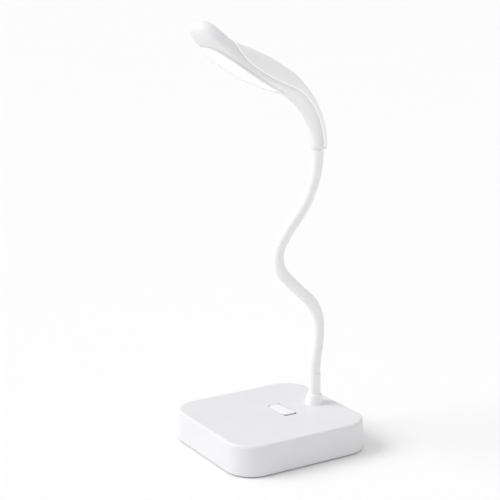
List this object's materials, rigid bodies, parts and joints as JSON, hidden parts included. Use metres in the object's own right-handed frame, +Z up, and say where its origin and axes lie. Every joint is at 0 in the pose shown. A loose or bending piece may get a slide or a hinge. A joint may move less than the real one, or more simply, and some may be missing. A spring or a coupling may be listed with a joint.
{
  "type": "desk lamp",
  "caption": "White rechargeable desk lamp with a rounded square base, a rocker switch on top, a bendable neck and a leaf-shaped head with a light panel underneath.",
  "frame": {"origin": "centre of the base on the surface that the lamp stands on", "axes": "+Z up; -Y the front, which the head leans over; the neck rises at the rear, +Y; +X the side whose end of the rocker is up"},
  "size_m": [0.118, 0.1314, 0.3449],
  "materials": {
    "shell_white": "fine satin moulded white",
    "cover_white": "satin moulded white",
    "sleeve_white": "soft white silicone",
    "collar_white": "smooth white",
    "rocker_white": "smooth white",
    "bottom_white": "light texture",
    "pad_grey": "foamed rubber",
    "diffuser_milk": "frosted milky sheet",
    "reflector_white": "glossy white",
    "board_green": "solder mask",
    "board_white": "white solder mask",
    "chip_black": "moulded black",
    "led_yellow": "phosphor",
    "switch_grey": "moulded dark grey",
    "terminal_brass": "plain",
    "steel_plain": "plain",
    "steel_zinc": "zinc plated",
    "nickel": "nickel plated",
    "ballast_iron": "raw",
    "cell_wrap": "shrink wrap",
    "lead_insulation": "smooth"
  },
  "bodies": {
    "base": {"base_shell": "shell_white", "bottom_cover": "bottom_white", "antislip_pad": "pad_grey", "ballast_plate": "ballast_iron", "battery_cell": "cell_wrap", "battery_tray": "bottom_white", "battery_contacts": "nickel", "battery_leads": "lead_insulation", "control_board": "board_green", "board_components": "chip_black", "charge_inlet": "nickel", "board_screws": "steel_zinc", "cover_screws": "steel_zinc", "switch_housing": "switch_grey", "switch_terminals": "terminal_brass", "switch_leads": "lead_insulation", "rocker_pin": "steel_plain", "neck_collar": "collar_white", "neck_washer": "steel_zinc", "neck_nut": "steel_zinc", "neck_ferrule": "collar_white", "neck_core_base": "steel_plain", "neck_sleeve_base": "sleeve_white", "neck_lead_base": "lead_insulation"},
    "rocker": {"rocker": "rocker_white"},
    "neck_link_1": {"neck_core_1": "steel_plain", "neck_sleeve_1": "sleeve_white", "neck_lead_1": "lead_insulation"},
    "neck_link_2": {"neck_core_2": "steel_plain", "neck_sleeve_2": "sleeve_white", "neck_lead_2": "lead_insulation"},
    "neck_link_3": {"neck_core_3": "steel_plain", "neck_sleeve_3": "sleeve_white", "neck_lead_3": "lead_insulation"},
    "neck_link_4": {"neck_core_4": "steel_plain", "neck_sleeve_4": "sleeve_white", "neck_lead_4": "lead_insulation"},
    "neck_link_5": {"neck_core_5": "steel_plain", "neck_sleeve_5": "sleeve_white", "neck_lead_5": "lead_insulation"},
    "neck_link_6": {"neck_core_6": "steel_plain", "neck_sleeve_6": "sleeve_white", "neck_lead_6": "lead_insulation"},
    "head": {"head_body": "shell_white", "head_back_cover": "cover_white", "diffuser": "diffuser_milk", "reflector_frame": "reflector_white", "led_board": "board_white", "leds": "led_yellow", "head_screws": "steel_zinc", "neck_core_head": "steel_plain", "neck_sleeve_head": "sleeve_white", "neck_lead_head": "lead_insulation"}
  },
  "joints": [
    {"name": "rocker_tilt", "type": "hinge", "parent": "base", "child": "rocker", "pos_m": [0, 0.012, 0.022], "axis": [0, 1, 0], "range_deg": [0, 12]},
    {"name": "neck_sway", "type": "hinge", "parent": "base", "child": "neck_link_1", "pos_m": [0, 0.04581, 0.07307], "axis": [0, 0.9816, -0.1908], "range_deg": [-20, 20]},
    {"name": "neck_bend_low", "type": "hinge", "parent": "neck_link_1", "child": "neck_link_2", "pos_m": [0, 0.04701, 0.09596], "axis": [1, 0, 0], "range_deg": [-25, 22]},
    {"name": "neck_bend_low_upper", "type": "hinge", "parent": "neck_link_2", "child": "neck_link_3", "pos_m": [0, 0.03549, 0.11857], "axis": [1, 0, 0], "range_deg": [-25, 22]},
    {"name": "neck_sway_upper", "type": "hinge", "parent": "neck_link_3", "child": "neck_link_4", "pos_m": [0, 0.01374, 0.13921], "axis": [0, 0.7193, 0.6947], "range_deg": [-20, 20]},
    {"name": "neck_bend_high", "type": "hinge", "parent": "neck_link_4", "child": "neck_link_5", "pos_m": [0, 0.0109, 0.16872], "axis": [1, 0, 0], "range_deg": [-20, 16]},
    {"name": "neck_bend_high_middle", "type": "hinge", "parent": "neck_link_5", "child": "neck_link_6", "pos_m": [0, 0.02306, 0.18457], "axis": [1, 0, 0], "range_deg": [-20, 16]},
    {"name": "neck_bend_high_upper", "type": "hinge", "parent": "neck_link_6", "child": "head", "pos_m": [0, 0.03888, 0.20988], "axis": [1, 0, 0], "range_deg": [-20, 16]}
  ],
  "couplings": [
    {"joint": "neck_bend_low_upper", "follows": "neck_bend_low", "ratio": 1},
    {"joint": "neck_sway_upper", "follows": "neck_sway", "ratio": 1},
    {"joint": "neck_bend_high_middle", "follows": "neck_bend_high", "ratio": 1},
    {"joint": "neck_bend_high_upper", "follows": "neck_bend_high", "ratio": 1}
  ]
}
